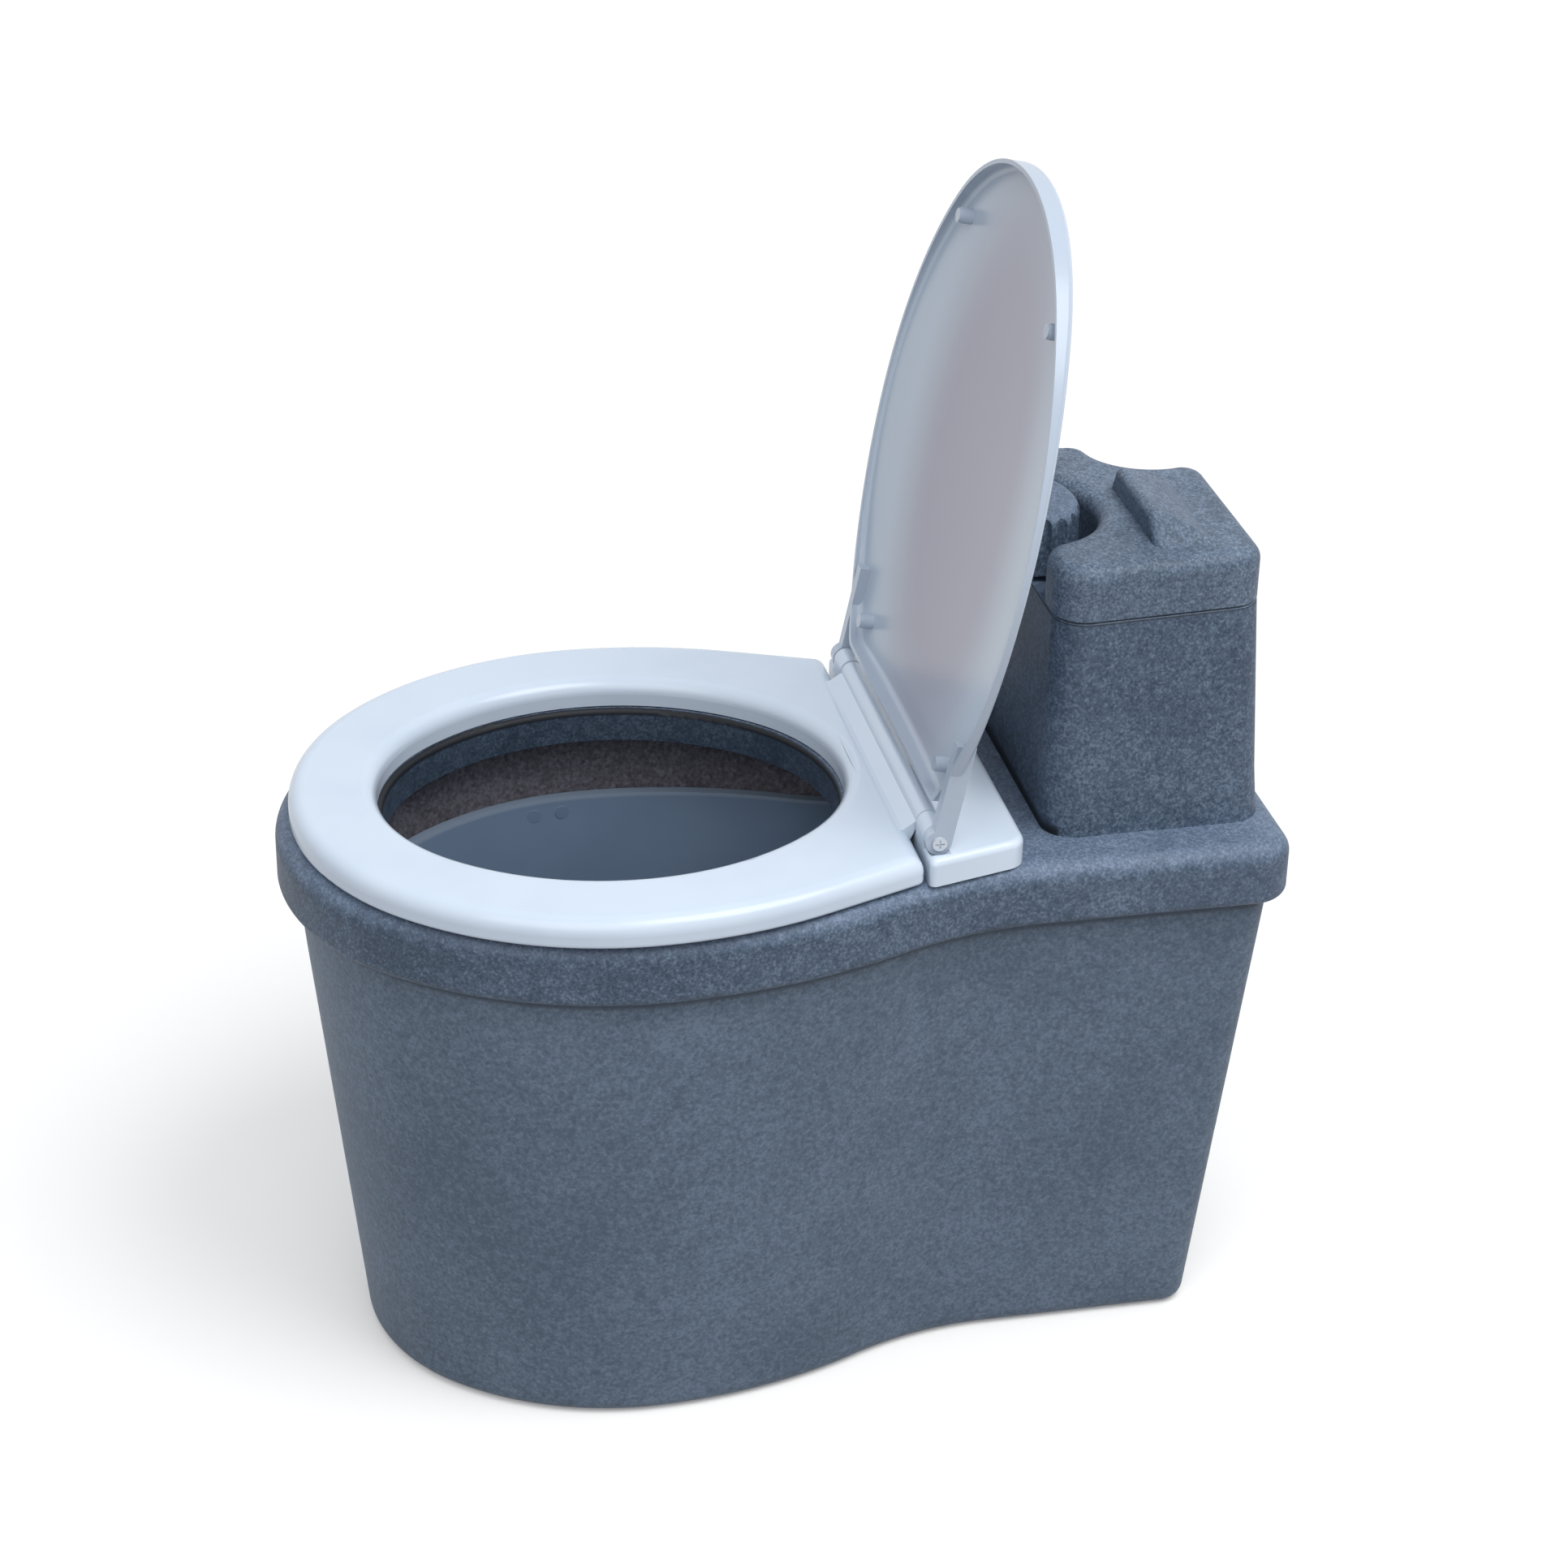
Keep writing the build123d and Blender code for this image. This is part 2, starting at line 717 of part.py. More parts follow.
def seat_ring():
    """Hollow-backed ring with a hinge barrel along its rear edge."""
    ring = prism(seat_outline(0, seat_under), seat_thickness)
    ring = fillet(edges_at(ring, seat_top), seat_top_round)
    ring = fillet(edges_at(ring, seat_under), seat_low_round)
    hole = oval(seat_hole_half, seat_hole_reach, hole_y, seat_under - overrun)
    ring -= prism(hole, seat_thickness + 2 * overrun)
    ring = fillet(round_hole(ring, seat_hole_reach, seat_top), seat_hole_round)
    groove = seat_outline(seat_wall, seat_under)
    groove -= oval(seat_hole_half + seat_wall, seat_hole_reach + seat_wall, hole_y, seat_under)
    ring -= prism(groove, seat_hollow)
    root_y = seat_rear_y - web_root
    web = (
        (root_y, seat_top - web_depth),
        (seat_rear_y, seat_top - web_depth),
        (plate_front_y, hinge_z - barrel_web),
        (hinge_y, hinge_z - barrel_web),
        (hinge_y, hinge_z),
        (hinge_y - barrel_radius, hinge_z),
        (lid_rear_y + lid_gap, seat_top - face_gap),
        (root_y, seat_top - face_gap),
    )
    ring += prism_x(web, -barrel_half, barrel_half)
    ring += rod_x(barrel_radius, -barrel_half, barrel_half, hinge_y, hinge_z)
    ring -= rod_x(pin_radius + running_gap, -lug_outer, lug_outer, hinge_y, hinge_z)
    for x, y in bumper_places():
        ring += rod(bumper_boss, seat_hollow + match_gap, x, y, seat_under)
        ring -= rod(bumper_stem, bumper_stem_length, x, y, seat_under)
    return ring


def seat_bumpers():
    """Four rubber feet pressed into bosses under the ring."""
    feet = []
    for x, y in bumper_places():
        foot = rod(bumper_radius, seat_lift - face_gap, x, y, deck_height + face_gap)
        feet.append(foot + rod(bumper_stem, bumper_stem_length, x, y, seat_under))
    return Compound(children=feet)


def hinge_plate():
    """Hollow-backed plate with an upright ear at each end and a trough under the barrel."""
    corners = (
        (plate_front_half, plate_front_y),
        (plate_rear_half, plate_rear_y),
        (-plate_rear_half, plate_rear_y),
        (-plate_front_half, plate_front_y),
    )
    face = make_face(Polyline(*corners, close=True))
    rear = face.vertices().group_by(Axis.Y)[-1]
    face = fillet(rear, plate_corner)
    front = face.vertices().group_by(Axis.Y)[0]
    face = fillet(front, plate_front_corner)
    plate = prism(Pos(0, 0, deck_height) * face, plate_thickness)
    plate = fillet(edges_at(plate, plate_top), plate_edge_round)
    hollow = offset(face, -plate_wall)
    plate -= prism(Pos(0, 0, deck_height) * hollow, plate_hollow)
    plate -= rod_x(plate_trough_radius, -lug_outer - overrun, lug_outer + overrun, hinge_y, hinge_z)
    for side in (-1, 1):
        plate += rod(plate_boss_radius, plate_hollow + match_gap, side * bolt_x, bolt_y, deck_height)
        bolt_top = deck_under - washer_thickness - nut_height - overrun + bolt_length
        plate -= rod(bolt_radius, bolt_top - deck_height, side * bolt_x, bolt_y, deck_height)
        plate += rod_x(ear_radius, side * ear_inner, side * ear_outer, hinge_y, hinge_z)
        low, high = sorted((side * ear_inner, side * ear_outer))
        foot = plate_top - plate_wall
        plate += block(low, high, hinge_y - ear_radius, hinge_y + ear_radius, foot, hinge_z)
    return plate - rod_x(pin_radius, -lug_outer, lug_outer, hinge_y, hinge_z)


def hinge_pins():
    """Two cross-headed pins driven through the lid's lugs, the ears and the seat's barrel."""
    pins = []
    for side in (-1, 1):
        head_x = lug_outer + face_gap
        pin = rod_x(pin_radius, side * (head_x - pin_length), side * head_x, hinge_y, hinge_z)
        pin += rod_x(pin_head_radius, side * head_x, side * (head_x + pin_head), hinge_y, hinge_z)
        cut_x = side * (head_x + pin_head)
        for turn in (0, 90):
            slot = Box(pin_head, 2 * pin_slot_reach, pin_slot)
            pin -= Pos(cut_x, hinge_y, hinge_z) * Rot(turn, 0, 0) * slot
        pins.append(pin.solid())
    return Compound(children=pins)


def plate_bolts():
    """Two studs up into the plate's bosses."""
    foot = deck_under - washer_thickness - nut_height - overrun
    return Compound(children=[rod(bolt_radius, bolt_length, side * bolt_x, bolt_y, foot) for side in (-1, 1)])


def bolt_washers():
    washers = []
    for side in (-1, 1):
        z = deck_under - washer_thickness
        ring = rod(washer_radius, washer_thickness, side * bolt_x, bolt_y, z)
        washers.append(ring - rod(bolt_radius, washer_thickness, side * bolt_x, bolt_y, z))
    return Compound(children=[washer.solid() for washer in washers])


def wing_nuts():
    nuts = []
    for side in (-1, 1):
        z = deck_under - washer_thickness - nut_height
        nut = rod(nut_radius, nut_height, side * bolt_x, bolt_y, z)
        wing = Box(wing_span, wing_thickness, wing_height)
        wing = fillet(wing.edges().filter_by(Axis.Y), wing_height * wing_round_share)
        nut += Pos(side * bolt_x, bolt_y, z + nut_height - wing_height / 2 - wing_thickness) * wing
        nut -= rod(bolt_radius, 2 * wing_height, side * bolt_x, bolt_y, z - wing_height)
        nuts.append(nut.solid())
    return Compound(children=nuts)


def lid_outline(inset, z):
    return ring_outline(
        lid_front - inset,
        lid_half - inset,
        lid_rear_y - inset,
        lid_rear_half - inset,
        lid_turn_share,
        lid_corner - inset,
        z,
    )


def lid_crown(drop):
    """Gently arched top surface, as the long roll that cuts the lid's blank."""
    top = lid_closed_under + lid_height - drop
    return rod_y(lid_crown_radius, -lid_front - overrun, hinge_y, 0, top - lid_crown_radius)


def opened(shape):
    """The lid's stored place: swung up about the hinge line."""
    return Pos(0, hinge_y, hinge_z) * Rot(-lid_open, 0, 0) * Pos(0, -hinge_y, -hinge_z) * shape


def seat_lid():
    """Dished lid with a turned-down edge and a lug at each rear corner."""
    lid = prism(lid_outline(0, lid_closed_under), lid_height) & lid_crown(0)
    high = [e for e in lid.edges() if e.bounding_box().min.Z > lid_closed_under + lid_inner_round]
    lid = fillet(high, lid_top_round)
    inside = prism(lid_outline(lid_wall, lid_closed_under - overrun), lid_height + overrun)
    inside &= lid_crown(lid_wall)
    deep = [e for e in inside.edges() if e.bounding_box().min.Z > lid_closed_under]
    lid -= fillet(deep, lid_inner_round)
    for side in (-1, 1):
        low, high = sorted((side * lug_inner, side * lug_outer))
        arm = block(low, high, lug_root_y, hinge_y, lid_closed_under, hinge_z + lug_radius)
        lid += arm + rod_x(lug_radius, low, high, hinge_y, hinge_z)
    for x, y in lid_bumper_places():
        boss = rod(lid_bumper_boss, lid_height, x, y, lid_closed_under + lid_bumper_set)
        lid += boss & lid_crown(lid_wall / 2)
        lid -= rod(lid_bumper_stem, lid_bumper_stem_length, x, y, lid_closed_under)
    lid -= rod_x(pin_radius + running_gap, -lug_outer - overrun, lug_outer + overrun, hinge_y, hinge_z)
    return opened(lid)


def lid_bumper_places():
    return [(side * lid_bumper_x, y) for side in (-1, 1) for y in (lid_bumper_front_y, lid_bumper_rear_y)]


def lid_bumpers():
    """Four soft pads inside the lid's edge that meet the seat when it is shut."""
    pads = []
    for x, y in lid_bumper_places():
        foot = seat_top + face_gap
        seat = lid_closed_under + lid_bumper_set
        pad = rod(lid_bumper_radius, seat - foot, x, y, foot)
        pad += rod(lid_bumper_stem, lid_bumper_stem_length - lid_bumper_set, x, y, seat)
        pads.append(opened(pad).solid())
    return Compound(children=pads)


def lid_cap_outline(inset, z):
    """The hopper's outline with the notch for the knob bitten out of its front."""
    radius = notch_radius + inset
    face = hopper_outline(inset, hopper_taper, 0, z) - Pos(0, notch_y, z) * Circle(radius)
    centre = Vector(0, notch_y, z)
    mouth = [v for v in face.vertices() if abs((v.center() - centre).length - radius) < match_gap]
    return fillet(mouth, notch_blend - inset)


def handle():
    """Finger bar across the lid: upright front, top falling to the rear, sloping ends."""
    foot = hopper_lid_top - hopper_lid_wall / 2
    rise = hopper_lid_top + handle_height
    profile = (
        (handle_front_y, foot),
        (handle_front_y, rise),
        (handle_front_y + handle_top_depth, hopper_lid_top + handle_rear_height),
        (handle_front_y + handle_depth, hopper_lid_top),
        (handle_front_y + handle_depth, foot),
    )
    bar = prism_x(profile, handle_far_x, handle_near_x)
    ends = (
        (handle_far_x, foot),
        (handle_far_x, hopper_lid_top),
        (handle_far_x + handle_far_run, rise + overrun),
        (handle_near_x - handle_near_run, rise + overrun),
        (handle_near_x, hopper_lid_top),
        (handle_near_x, foot),
    )
    front = handle_front_y - overrun
    face = make_face(Polyline(*[(x, front, z) for x, z in ends], close=True))
    bar &= extrude(face, amount=handle_depth + 2 * overrun, dir=(0, 1, 0))
    raised = [e for e in bar.edges() if e.center().Z > hopper_lid_top + handle_round / 2]
    return fillet(raised, handle_round)


def hopper_lid():
    """Deep cap over the hopper, hollow inside, with a skirt that drops into the opening."""
    foot = hopper_seam + face_gap
    cap = prism(lid_cap_outline(0, foot), hopper_lid_top - foot)
    cap = fillet(edges_at(cap, hopper_lid_top), hopper_lid_round)
    cap = fillet(edges_at(cap, foot), seam_round)
    roof = hopper_lid_top - hopper_lid_wall
    cap -= prism(lid_cap_outline(hopper_lid_wall, foot - overrun), roof - foot + overrun)
    cap += handle()
    lip = hopper_wall + hopper_lid_lip_gap
    shelf_edge = notch_radius + hopper_lid_wall + hopper_lid_lip_gap
    skirt_low = hopper_seam - hopper_lid_lip
    skirt = hopper_outline(lip, hopper_taper, 0, skirt_low)
    skirt -= Pos(0, notch_y, skirt_low) * Circle(shelf_edge)
    inner = hopper_outline(lip + hopper_lid_lip_wall, hopper_taper, 0, skirt_low)
    skirt -= inner - Pos(0, notch_y, skirt_low) * Circle(shelf_edge + hopper_lid_lip_wall)
    return cap + prism(skirt, roof - skirt_low + match_gap)


def bush(foot, height, flange_z):
    body = rod(bush_radius, height, 0, shaft_y, foot)
    body += rod(bush_flange_radius, bush_flange, 0, shaft_y, flange_z)
    through = height + 4 * bush_flange
    return body - rod(shaft_radius + running_gap, through, 0, shaft_y, foot - 2 * bush_flange)


def shaft_bushes():
    """Plain bushes in the shelf and in the deck, flanged where the shaft leaves the hopper."""
    upper = bush(hopper_seam - shelf_thickness, shelf_thickness, hopper_seam)
    lower = bush(deck_under, deck_thickness, deck_under - bush_flange)
    return Compound(children=[upper.solid(), lower.solid()])


def feed_shaft():
    top = hopper_seam + bush_flange + knob_lift + shaft_into_knob
    shaft = rod(shaft_radius, top - shaft_low, 0, shaft_y, shaft_low)
    return shaft - rod(shaft_screw_radius, shaft_screw_depth, 0, shaft_y, shaft_low)


def feed_knob():
    """Oval fluted knob that turns the shaft."""
    foot = hopper_seam + bush_flange + knob_lift
    knob = prism(Pos(0, shaft_y, foot) * Rot(0, 0, 90) * oval(knob_depth, knob_half, 0, 0), knob_height)
    knob = fillet(edges_at(knob, foot + knob_height), knob_round)
    for index in range(knob_flutes):
        turn = radians(360 / knob_flutes * (index + 0.5))
        x = (knob_half + knob_flute_inset) * cos(turn)
        y = shaft_y + (knob_depth + knob_flute_inset) * sin(turn)
        knob -= rod(knob_flute_radius, knob_height + 2 * overrun, x, y, foot - overrun)
    return knob - rod(shaft_radius, shaft_into_knob, 0, shaft_y, foot)


def stirrer():
    """Hub with three fingers and upright tines that loosens the litter above the outlet."""
    foot = deck_height + outlet_plate_thickness + stirrer_lift
    body = rod(stirrer_hub_radius, stirrer_hub_height, 0, shaft_y, foot)
    z = foot + stirrer_finger_radius + stirrer_lift
    for turn in stirrer_finger_turns:
        length = stirrer_finger_length
        finger = Pos(0, shaft_y, z) * Rot(0, 0, turn) * Pos(length / 2, 0) * Rot(0, 90, 0)
        body += finger * Cylinder(stirrer_finger_radius, length)
        x = length * cos(radians(turn))
        y = shaft_y + length * sin(radians(turn))
        body += rod(stirrer_finger_radius, stirrer_tine_height, x, y, z - stirrer_finger_radius)
    return body - rod(shaft_radius, 2 * stirrer_tine_height, 0, shaft_y, foot - overrun)


def spreader_wheel():
    """Vaned wheel under the outlet that throws the litter forwards over the bucket."""
    foot = shaft_low
    wheel = rod(stirrer_hub_radius, wheel_hub_height, 0, shaft_y, foot)
    wheel += rod(wheel_radius, wheel_thickness, 0, shaft_y, foot + wheel_disc_rise)
    vane_z = foot + wheel_disc_rise + wheel_thickness
    reach = wheel_radius - wheel_vane_gap
    vane = Box(reach, wheel_vane_thickness, wheel_vane_height + match_gap)
    vane = Pos(reach / 2, 0, (wheel_vane_height - match_gap) / 2) * vane
    for index in range(wheel_vanes):
        wheel += Pos(0, shaft_y, vane_z) * Rot(0, 0, 360 / wheel_vanes * index) * vane
    return wheel - rod(shaft_radius, wheel_hub_height + 2 * overrun, 0, shaft_y, foot - overrun)


def shaft_screw():
    head = rod(shaft_screw_head_radius, shaft_screw_head, 0, shaft_y, shaft_low - shaft_screw_head)
    return head + rod(shaft_screw_radius, shaft_screw_depth, 0, shaft_y, shaft_low)


def outlet_plate():
    """Slotted plate over the outlet in the hopper's floor."""
    margin = outlet_plate_margin
    top = deck_height + outlet_plate_thickness
    plate = block(
        -outlet_plate_half,
        outlet_plate_half,
        outlet_front_y - margin,
        outlet_rear_y + margin,
        deck_height,
        top,
    )
    middle = (outlet_front_y + outlet_rear_y) / 2
    for x, _ in grid(outlet_slots, 1, outlet_slot_pitch, 0):
        slot = Pos(x, middle, deck_height) * Rot(0, 0, 90) * SlotOverall(outlet_slot_length, outlet_slot_width)
        plate -= prism(slot, outlet_plate_thickness)
    for x, y in outlet_screw_places():
        plate -= rod(small_screw_radius, outlet_plate_thickness, x, y, deck_height)
    return plate


def headed_screw(shank, head, x, y, top):
    """Screw driven down, its head standing on top."""
    body = rod(shank, small_screw_length, x, y, top - small_screw_length)
    return body + rod(head, small_screw_head_height, x, y, top)


def outlet_screws():
    top = deck_height + outlet_plate_thickness
    sizes = (small_screw_radius, small_screw_head)
    return Compound(children=[headed_screw(*sizes, x, y, top) for x, y in outlet_screw_places()])


def vent_spigot():
    """Flanged tube that carries the vent pipe."""
    foot = deck_under - vent_drop
    flange = deck_height + vent_seal
    tube = rod(vent_radius, flange + vent_flange + vent_rise - foot, vent_x, vent_y, foot)
    tube += rod(vent_flange_radius, vent_flange, vent_x, vent_y, flange)
    tube -= rod(vent_radius - vent_wall, vent_rise * 2, vent_x, vent_y, foot - overrun)
    for x, y in vent_screw_places():
        tube -= rod(vent_screw_radius, vent_flange, x, y, flange)
    return tube


def vent_gasket():
    ring = rod(vent_flange_radius, vent_seal, vent_x, vent_y, deck_height)
    ring -= rod(vent_radius + face_gap, vent_seal, vent_x, vent_y, deck_height)
    for x, y in vent_screw_places():
        ring -= rod(vent_screw_radius, vent_seal, x, y, deck_height)
    return ring


def vent_fixings():
    top = deck_height + vent_seal + vent_flange
    sizes = (vent_screw_radius, vent_screw_head)
    return Compound(children=[headed_screw(*sizes, x, y, top) for x, y in vent_screw_places()])


def drain_tail():
    """Barbed hose tail, its flange inside the tub."""
    inner_y = drain_boss_front_y - drain_seal - drain_flange
    tail = rod_y(drain_radius - running_gap, inner_y, drain_tail_y, 0, drain_z)
    tail += rod_y(drain_flange_radius, inner_y, inner_y + drain_flange, 0, drain_z)
    barb_run = (drain_tail_y - drain_boss_rear_y - drain_nut_height) / (drain_barbs + 1)
    for index in range(drain_barbs):
        y = drain_tail_y - barb_run * (index + 1)
        tail += rod_y(drain_radius + drain_barb, y - drain_barb, y + drain_barb, 0, drain_z)
    return tail - rod_y(drain_bore, inner_y - overrun, drain_tail_y + overrun, 0, drain_z)


def drain_gasket():
    low = drain_boss_front_y - drain_seal
    ring = rod_y(drain_flange_radius, low, drain_boss_front_y, 0, drain_z)
    return ring - rod_y(drain_radius, low - overrun, drain_boss_front_y + overrun, 0, drain_z)


def drain_nut():
    high = drain_boss_rear_y + drain_nut_height
    nut = Pos(0, (drain_boss_rear_y + high) / 2, drain_z) * Rot(90, 0, 0) * extrude(
        RegularPolygon(drain_nut_radius, 6), amount=drain_nut_height / 2, both=True
    )
    return nut - rod_y(drain_radius, drain_boss_rear_y - overrun, high + overrun, 0, drain_z)


bucket_shell = bucket()
grips = bucket_grips()

pieces = {
    "outer_tub": outer_tub(),
    "tub_seal": tub_seal(),
    "inner_bucket": bucket_shell,
    "false_floor": false_floor(),
    "fibre_mat": fibre_mat(),
    "bucket_grips": grips,
    "grip_rivets": grip_rivets(bucket_shell, grips),
    "drain_tail": drain_tail(),
    "drain_gasket": drain_gasket(),
    "drain_nut": drain_nut(),
    "top_cover": top_cover(),
    "hinge_plate": hinge_plate(),
    "hinge_pins": hinge_pins(),
    "plate_bolts": plate_bolts(),
    "bolt_washers": bolt_washers(),
    "wing_nuts": wing_nuts(),
    "shaft_bushes": shaft_bushes(),
    "outlet_plate": outlet_plate(),
    "outlet_screws": outlet_screws(),
    "vent_spigot": vent_spigot(),
    "vent_gasket": vent_gasket(),
    "vent_screws": vent_fixings(),
    "seat_ring": seat_ring(),
    "seat_bumpers": seat_bumpers(),
    "seat_lid": seat_lid(),
    "lid_bumpers": lid_bumpers(),
    "feed_knob": feed_knob(),
    "feed_shaft": feed_shaft(),
    "stirrer": stirrer(),
    "spreader_wheel": spreader_wheel(),
    "shaft_screw": shaft_screw(),
    "hopper_lid": hopper_lid(),
}

for node, shape in pieces.items():
    save(shape, node)
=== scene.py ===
import math

import bpy
from mathutils import Matrix, Vector


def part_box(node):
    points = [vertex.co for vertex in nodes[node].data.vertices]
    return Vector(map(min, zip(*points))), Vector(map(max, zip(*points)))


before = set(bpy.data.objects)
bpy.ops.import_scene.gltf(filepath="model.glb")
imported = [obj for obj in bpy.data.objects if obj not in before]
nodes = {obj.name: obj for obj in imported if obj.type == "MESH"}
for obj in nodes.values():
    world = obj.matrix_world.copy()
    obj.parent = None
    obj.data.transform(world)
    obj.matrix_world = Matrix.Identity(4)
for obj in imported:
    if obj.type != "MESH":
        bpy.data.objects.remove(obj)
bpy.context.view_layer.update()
bpy.ops.object.select_all(action="DESELECT")
bpy.context.scene.view_settings.view_transform = "Standard"

# Camera: the photograph was taken from the toilet's near side, at about standing height,
# and looks down by a little more than 28 degrees across the seat.
camera_place = Vector((2.14637, -0.45998, 1.5932))
camera_yaw = math.radians(12.490)
camera_pitch = math.radians(28.265)
camera_roll = math.radians(1.168)
photo_width = 1932
focal_pixels = 4379.95
sensor_width = 36.0
nearest_seen = 0.05

camera_data = bpy.data.cameras.new("photo_camera")
camera_data.sensor_width = sensor_width
camera_data.lens = sensor_width * focal_pixels / photo_width
camera_data.clip_start = nearest_seen
camera = bpy.data.objects.new("photo_camera", camera_data)
bpy.context.scene.collection.objects.link(camera)
ahead = Vector((
    -math.cos(camera_pitch) * math.cos(camera_yaw),
    math.cos(camera_pitch) * math.sin(camera_yaw),
    -math.sin(camera_pitch),
))
level = ahead.cross(Vector((0, 0, 1))).normalized()
upright = level.cross(ahead)
right = level * math.cos(camera_roll) + upright * math.sin(camera_roll)
above = upright * math.cos(camera_roll) - level * math.sin(camera_roll)
turned = Matrix((right, above, -ahead)).transposed().to_4x4()
camera.matrix_world = Matrix.Translation(camera_place) @ turned
bpy.context.scene.camera = camera


# Studio: a pale floor, a sky that is brighter overhead, and two softboxes on the near side,
# the stronger one high at the rear and the weaker one lower in front. Level surfaces are
# brightest, the lid's inner face is dim, and the shadow lies far left.
class Flow:
    """One output socket of a node, so that sums on it are written as ordinary Python."""

    def __init__(self, tree, socket):
        self.tree = tree
        self.socket = socket

    def node(self, kind, settings=None, **inputs):
        """Adds a node: its settings, then its inputs by name. A last _ means the last so named."""
        made = self.tree.nodes.new(kind)
        for key, value in (settings or {}).items():
            setattr(made, key, value)
        for key, value in inputs.items():
            name = key.rstrip("_")
            named = [s for s in made.inputs if s.enabled and s.name.replace(" ", "") == name]
            feed(named[-1] if key.endswith("_") else named[0], value)
        return Flow(self.tree, [s for s in made.outputs if s.enabled][0])

    def out(self, name):
        """Another output of the same node."""
        return Flow(self.tree, self.socket.node.outputs[name])

    def axis(self, name):
        """One component of a vector: X, Y or Z."""
        return self.node("ShaderNodeSeparateXYZ", Vector=self).out(name)

    def sum(self, operation, first, second):
        made = self.tree.nodes.new("ShaderNodeMath")
        made.operation = operation
        feed(made.inputs[0], first)
        feed(made.inputs[1], second)
        return Flow(self.tree, made.outputs[0])

    def __add__(self, other):
        return self.sum("ADD", self, other)

    def __radd__(self, other):
        return self.sum("ADD", other, self)

    def __sub__(self, other):
        return self.sum("SUBTRACT", self, other)

    def __rsub__(self, other):
        return self.sum("SUBTRACT", other, self)

    def __mul__(self, other):
        return self.sum("MULTIPLY", self, other)

    def __rmul__(self, other):
        return self.sum("MULTIPLY", other, self)

    def larger(self, other):
        return self.sum("MAXIMUM", self, other)

    def clear(self, low, high):
        """0 at low, 1 at high, smooth between and level beyond."""
        return self.node(
            "ShaderNodeMapRange", {"interpolation_type": "SMOOTHSTEP", "clamp": True},
            Value=self, FromMin=low, FromMax=high, ToMin=0.0, ToMax=1.0,
        )

    def between(self, first, second):
        """The colour that lies between two others, by this share."""
        return self.node("ShaderNodeMix", {"data_type": "RGBA"}, Factor=self, A=first, B=second)

    def noise(self, size, detail=2.0, roughness=0.5, seed=0.0):
        """Soft random clouds of about one size in metres."""
        return self.node(
            "ShaderNodeTexNoise", {"noise_dimensions": "4D"},
            Vector=self, W=seed, Scale=1 / size, Detail=detail, Roughness=roughness,
        )

    def bump(self, strength, depth):
        return self.node("ShaderNodeBump", Strength=strength, Distance=depth, Height=self)


def feed(socket, value):
    """Links a flow to a socket, or sets a plain value on it."""
    if isinstance(value, Flow):
        value.tree.links.new(value.socket, socket)
    else:
        socket.default_value = value


def material_called(name):
    """A new material, its shader's inputs, and a flow on its Object coordinates."""
    material = bpy.data.materials.new(name)
    material.use_nodes = True
    tree = material.node_tree
    places = tree.nodes.new("ShaderNodeTexCoord").outputs["Object"]
    return material, tree.nodes["Principled BSDF"].inputs, Flow(tree, places)


def seen_or_mirrored(rays):
    """1 for camera, glossy and transmission rays, and 0 for the rays that light the object."""
    seen = rays.out("Is Camera Ray").larger(rays.out("Is Glossy Ray"))
    return seen.larger(rays.out("Is Transmission Ray"))


floor_size = 14.0
floor_grey = (0.42, 0.42, 0.43, 1)
floor_white = (1.10, 1.07, 1.02, 1)
floor_glow = 1.05
floor_roughness = 0.9
shadow_share = 0.87
shadow_reach = (0.90, 0.42)
plain_white = (1, 1, 1, 1)
sky_zenith = (0.66, 0.71, 0.78, 1)
sky_horizon = (0.42, 0.41, 0.42, 1)
lamp_colour = (0.97, 0.985, 1.0)
lamps = {
    "key_softbox": (Vector((1.08, 0.90, 2.66)), 1.8, 40.0),
    "near_softbox": (Vector((1.75, -0.80, 2.32)), 2.4, 22.0),
}

bpy.ops.mesh.primitive_plane_add(size=floor_size, location=(0, 0, 0))
floor = bpy.context.object
floor.name = "studio_floor"
floor_finish, shader, places = material_called("studio_floor")
feed(shader["Base Color"], floor_grey)
feed(shader["Roughness"], floor_roughness)
feed(shader["Specular IOR Level"], 0.0)
lit = Flow(places.tree, places.tree.nodes["Principled BSDF"].outputs[0])
glow = places.node("ShaderNodeEmission", Color=plain_white, Strength=floor_glow)
shaded = places.node("ShaderNodeBsdfDiffuse", Color=floor_white)
away = places.node("ShaderNodeVectorMath", {"operation": "LENGTH"}, Vector=places).out("Value")
close_by = away.clear(*shadow_reach) * shadow_share
white = places.node("ShaderNodeMixShader", Fac=close_by, Shader=glow, Shader_=shaded)
seen = seen_or_mirrored(places.node("ShaderNodeLightPath"))
both = places.node("ShaderNodeMixShader", Fac=seen, Shader=lit, Shader_=white)
feed(places.tree.nodes["Material Output"].inputs["Surface"], both)
floor.data.materials.append(floor_finish)

world = bpy.data.worlds.new("studio")
bpy.context.scene.world = world
world.use_nodes = True
sky = Flow(world.node_tree, world.node_tree.nodes["Background"].outputs[0])
height = sky.node("ShaderNodeTexCoord").out("Generated").axis("Z")
feed(sky.socket.node.inputs["Color"], height.clear(0.0, 1.0).between(sky_horizon, sky_zenith))
backdrop = sky.node("ShaderNodeBackground", Color=plain_white, Strength=1.0)
seen = seen_or_mirrored(sky.node("ShaderNodeLightPath"))
both = sky.node("ShaderNodeMixShader", Fac=seen, Shader=sky, Shader_=backdrop)
feed(world.node_tree.nodes["World Output"].inputs["Surface"], both)

